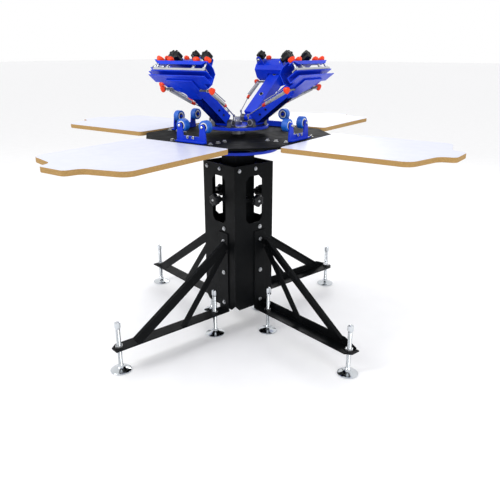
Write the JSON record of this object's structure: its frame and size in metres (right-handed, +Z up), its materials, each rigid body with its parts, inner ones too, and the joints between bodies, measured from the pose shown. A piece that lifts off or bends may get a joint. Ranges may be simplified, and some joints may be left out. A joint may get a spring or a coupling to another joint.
{
  "type": "screen printing carousel",
  "caption": "Carousel press for screen printing: sprung print arms with screen clamps turn above pallet boards on a braced square column with levelling feet.",
  "frame": {"origin": "floor level under the spindle, at the centre of the footprint of the four pallets", "axes": "+Z up along the spindle; +X along the first pallet and its print arm, +Y along the second"},
  "size_m": [1.858, 1.858, 1.2136],
  "materials": {
    "black_paint": "semi-gloss black powder coat",
    "blue_paint": "glossy royal blue enamel",
    "chrome": "polished",
    "steel": "turned, lightly oiled",
    "zinc": "bright zinc plate",
    "pallet_board": "white laminate on fibreboard",
    "roller_blue": "moulded polyurethane",
    "black_plastic": "moulded"
  },
  "bodies": {
    "stand": {"column_guide_lower": "black_paint", "column_guide_upper": "black_paint", "leg_frame_1": "black_paint", "column_panel_1": "black_paint", "leg_frame_2": "black_paint", "column_panel_2": "black_paint", "leg_frame_3": "black_paint", "column_panel_3": "black_paint", "leg_frame_4": "black_paint", "column_panel_4": "black_paint"},
    "lift_column": {"inner_column": "black_paint", "spindle": "steel", "lower_disc": "blue_paint"},
    "pallet_wheel": {"pallet_hub": "black_paint", "pallet_1": "pallet_board", "registration_fork_1": "blue_paint", "pallet_2": "pallet_board", "registration_fork_2": "blue_paint", "pallet_3": "pallet_board", "registration_fork_3": "blue_paint", "pallet_4": "pallet_board", "registration_fork_4": "blue_paint"},
    "print_wheel": {"upper_disc": "blue_paint", "hinge_carrier": "zinc"},
    "column_knob_1": {"column_knob_1": "black_plastic"},
    "levelling_foot_outer_1": {"levelling_foot_outer_1": "chrome"},
    "levelling_foot_inner_1": {"levelling_foot_inner_1": "chrome"},
    "roller_left_1": {"roller_left_1": "roller_blue"},
    "roller_right_1": {"roller_right_1": "roller_blue"},
    "arm_1": {"print_arm_1": "blue_paint"},
    "clamp_1": {"screen_clamp_1": "blue_paint"},
    "bar_1": {"pressing_bar_1": "zinc"},
    "micro_1": {"micro_knob_1": "black_plastic"},
    "column_knob_2": {"column_knob_2": "black_plastic"},
    "levelling_foot_outer_2": {"levelling_foot_outer_2": "chrome"},
    "levelling_foot_inner_2": {"levelling_foot_inner_2": "chrome"},
    "roller_left_2": {"roller_left_2": "roller_blue"},
    "roller_right_2": {"roller_right_2": "roller_blue"},
    "arm_2": {"print_arm_2": "blue_paint"},
    "clamp_2": {"screen_clamp_2": "blue_paint"},
    "bar_2": {"pressing_bar_2": "zinc"},
    "micro_2": {"micro_knob_2": "black_plastic"},
    "column_knob_3": {"column_knob_3": "black_plastic"},
    "levelling_foot_outer_3": {"levelling_foot_outer_3": "chrome"},
    "levelling_foot_inner_3": {"levelling_foot_inner_3": "chrome"},
    "roller_left_3": {"roller_left_3": "roller_blue"},
    "roller_right_3": {"roller_right_3": "roller_blue"},
    "arm_3": {"print_arm_3": "blue_paint"},
    "clamp_3": {"screen_clamp_3": "blue_paint"},
    "bar_3": {"pressing_bar_3": "zinc"},
    "micro_3": {"micro_knob_3": "black_plastic"},
    "column_knob_4": {"column_knob_4": "black_plastic"},
    "levelling_foot_outer_4": {"levelling_foot_outer_4": "chrome"},
    "levelling_foot_inner_4": {"levelling_foot_inner_4": "chrome"},
    "roller_left_4": {"roller_left_4": "roller_blue"},
    "roller_right_4": {"roller_right_4": "roller_blue"},
    "arm_4": {"print_arm_4": "blue_paint"},
    "clamp_4": {"screen_clamp_4": "blue_paint"},
    "bar_4": {"pressing_bar_4": "zinc"},
    "micro_4": {"micro_knob_4": "black_plastic"}
  },
  "joints": [
    {"name": "height_adjust", "type": "slide", "parent": "stand", "child": "lift_column", "axis": [0, 0, 1], "range_m": [0, 0.08]},
    {"name": "pallet_wheel_spin", "type": "hinge", "parent": "lift_column", "child": "pallet_wheel", "pos_m": [0, 0, 0.84], "axis": [0, 0, 1], "continuous": true},
    {"name": "print_wheel_spin", "type": "hinge", "parent": "lift_column", "child": "print_wheel", "pos_m": [0, 0, 0.912], "axis": [0, 0, 1], "continuous": true},
    {"name": "column_knob_1_spin", "type": "hinge", "parent": "stand", "child": "column_knob_1", "pos_m": [0.11534, -0.02929, 0.6125], "axis": [0.9692, -0.2462, 0], "continuous": true},
    {"name": "levelling_foot_outer_1_screw", "type": "slide", "parent": "stand", "child": "levelling_foot_outer_1", "axis": [0, 0, -1], "range_m": [0, 0.03]},
    {"name": "levelling_foot_inner_1_screw", "type": "slide", "parent": "stand", "child": "levelling_foot_inner_1", "axis": [0, 0, -1], "range_m": [0, 0.03]},
    {"name": "roller_left_1_spin", "type": "hinge", "parent": "pallet_wheel", "child": "roller_left_1", "pos_m": [0.278, 0.056, 0.94], "axis": [1, 0, 0], "continuous": true},
    {"name": "roller_right_1_spin", "type": "hinge", "parent": "pallet_wheel", "child": "roller_right_1", "pos_m": [0.278, -0.056, 0.94], "axis": [1, 0, 0], "continuous": true},
    {"name": "print_arm_1_lift", "type": "hinge", "parent": "print_wheel", "child": "arm_1", "pos_m": [0.1, 0, 0.937], "axis": [0, 1, 0], "range_deg": [0, 36.9], "stiffness_Nm_per_rad": 38, "springref_deg": -34.38},
    {"name": "registration_slide_1", "type": "slide", "parent": "arm_1", "child": "clamp_1", "axis": [0, 1, 0], "range_m": [-0.006, 0.006]},
    {"name": "pressing_bar_1_travel", "type": "slide", "parent": "clamp_1", "child": "bar_1", "axis": [-0.6004, 0, 0.7997], "range_m": [0, 0.018]},
    {"name": "micro_knob_1_turn", "type": "hinge", "parent": "clamp_1", "child": "micro_1", "pos_m": [0.28267, 0.072, 1.1917], "axis": [0.7997, 0, 0.6004], "range_deg": [-545, 545]},
    {"name": "column_knob_2_spin", "type": "hinge", "parent": "stand", "child": "column_knob_2", "pos_m": [0.02929, 0.11534, 0.6125], "axis": [0.2462, 0.9692, 0], "continuous": true},
    {"name": "levelling_foot_outer_2_screw", "type": "slide", "parent": "stand", "child": "levelling_foot_outer_2", "axis": [0, 0, -1], "range_m": [0, 0.03]},
    {"name": "levelling_foot_inner_2_screw", "type": "slide", "parent": "stand", "child": "levelling_foot_inner_2", "axis": [0, 0, -1], "range_m": [0, 0.03]},
    {"name": "roller_left_2_spin", "type": "hinge", "parent": "pallet_wheel", "child": "roller_left_2", "pos_m": [-0.056, 0.278, 0.94], "axis": [0, 1, 0], "continuous": true},
    {"name": "roller_right_2_spin", "type": "hinge", "parent": "pallet_wheel", "child": "roller_right_2", "pos_m": [0.056, 0.278, 0.94], "axis": [0, 1, 0], "continuous": true},
    {"name": "print_arm_2_lift", "type": "hinge", "parent": "print_wheel", "child": "arm_2", "pos_m": [0, 0.1, 0.937], "axis": [-1, 0, 0], "range_deg": [0, 36.9], "stiffness_Nm_per_rad": 38, "springref_deg": -34.38},
    {"name": "registration_slide_2", "type": "slide", "parent": "arm_2", "child": "clamp_2", "axis": [-1, 0, 0], "range_m": [-0.006, 0.006]},
    {"name": "pressing_bar_2_travel", "type": "slide", "parent": "clamp_2", "child": "bar_2", "axis": [0, -0.6004, 0.7997], "range_m": [0, 0.018]},
    {"name": "micro_knob_2_turn", "type": "hinge", "parent": "clamp_2", "child": "micro_2", "pos_m": [-0.072, 0.28267, 1.1917], "axis": [0, 0.7997, 0.6004], "range_deg": [-545, 545]},
    {"name": "column_knob_3_spin", "type": "hinge", "parent": "stand", "child": "column_knob_3", "pos_m": [-0.11534, 0.02929, 0.6125], "axis": [-0.9692, 0.2462, 0], "continuous": true},
    {"name": "levelling_foot_outer_3_screw", "type": "slide", "parent": "stand", "child": "levelling_foot_outer_3", "axis": [0, 0, -1], "range_m": [0, 0.03]},
    {"name": "levelling_foot_inner_3_screw", "type": "slide", "parent": "stand", "child": "levelling_foot_inner_3", "axis": [0, 0, -1], "range_m": [0, 0.03]},
    {"name": "roller_left_3_spin", "type": "hinge", "parent": "pallet_wheel", "child": "roller_left_3", "pos_m": [-0.278, -0.056, 0.94], "axis": [-1, 0, 0], "continuous": true},
    {"name": "roller_right_3_spin", "type": "hinge", "parent": "pallet_wheel", "child": "roller_right_3", "pos_m": [-0.278, 0.056, 0.94], "axis": [-1, 0, 0], "continuous": true},
    {"name": "print_arm_3_lift", "type": "hinge", "parent": "print_wheel", "child": "arm_3", "pos_m": [-0.1, 0, 0.937], "axis": [0, -1, 0], "range_deg": [0, 36.9], "stiffness_Nm_per_rad": 38, "springref_deg": -34.38},
    {"name": "registration_slide_3", "type": "slide", "parent": "arm_3", "child": "clamp_3", "axis": [0, -1, 0], "range_m": [-0.006, 0.006]},
    {"name": "pressing_bar_3_travel", "type": "slide", "parent": "clamp_3", "child": "bar_3", "axis": [0.6004, 0, 0.7997], "range_m": [0, 0.018]},
    {"name": "micro_knob_3_turn", "type": "hinge", "parent": "clamp_3", "child": "micro_3", "pos_m": [-0.28267, -0.072, 1.1917], "axis": [-0.7997, 0, 0.6004], "range_deg": [-545, 545]},
    {"name": "column_knob_4_spin", "type": "hinge", "parent": "stand", "child": "column_knob_4", "pos_m": [-0.02929, -0.11534, 0.6125], "axis": [-0.2462, -0.9692, 0], "continuous": true},
    {"name": "levelling_foot_outer_4_screw", "type": "slide", "parent": "stand", "child": "levelling_foot_outer_4", "axis": [0, 0, -1], "range_m": [0, 0.03]},
    {"name": "levelling_foot_inner_4_screw", "type": "slide", "parent": "stand", "child": "levelling_foot_inner_4", "axis": [0, 0, -1], "range_m": [0, 0.03]},
    {"name": "roller_left_4_spin", "type": "hinge", "parent": "pallet_wheel", "child": "roller_left_4", "pos_m": [0.056, -0.278, 0.94], "axis": [0, -1, 0], "continuous": true},
    {"name": "roller_right_4_spin", "type": "hinge", "parent": "pallet_wheel", "child": "roller_right_4", "pos_m": [-0.056, -0.278, 0.94], "axis": [0, -1, 0], "continuous": true},
    {"name": "print_arm_4_lift", "type": "hinge", "parent": "print_wheel", "child": "arm_4", "pos_m": [0, -0.1, 0.937], "axis": [1, 0, 0], "range_deg": [0, 36.9], "stiffness_Nm_per_rad": 38, "springref_deg": -34.38},
    {"name": "registration_slide_4", "type": "slide", "parent": "arm_4", "child": "clamp_4", "axis": [1, 0, 0], "range_m": [-0.006, 0.006]},
    {"name": "pressing_bar_4_travel", "type": "slide", "parent": "clamp_4", "child": "bar_4", "axis": [0, 0.6004, 0.7997], "range_m": [0, 0.018]},
    {"name": "micro_knob_4_turn", "type": "hinge", "parent": "clamp_4", "child": "micro_4", "pos_m": [0.072, -0.28267, 1.1917], "axis": [0, -0.7997, 0.6004], "range_deg": [-545, 545]}
  ],
  "couplings": [
    {"joint": "micro_knob_1_turn", "follows": "registration_slide_1", "rad_per_m": 1570.8},
    {"joint": "micro_knob_2_turn", "follows": "registration_slide_2", "rad_per_m": 1570.8},
    {"joint": "micro_knob_3_turn", "follows": "registration_slide_3", "rad_per_m": 1570.8},
    {"joint": "micro_knob_4_turn", "follows": "registration_slide_4", "rad_per_m": 1570.8}
  ]
}
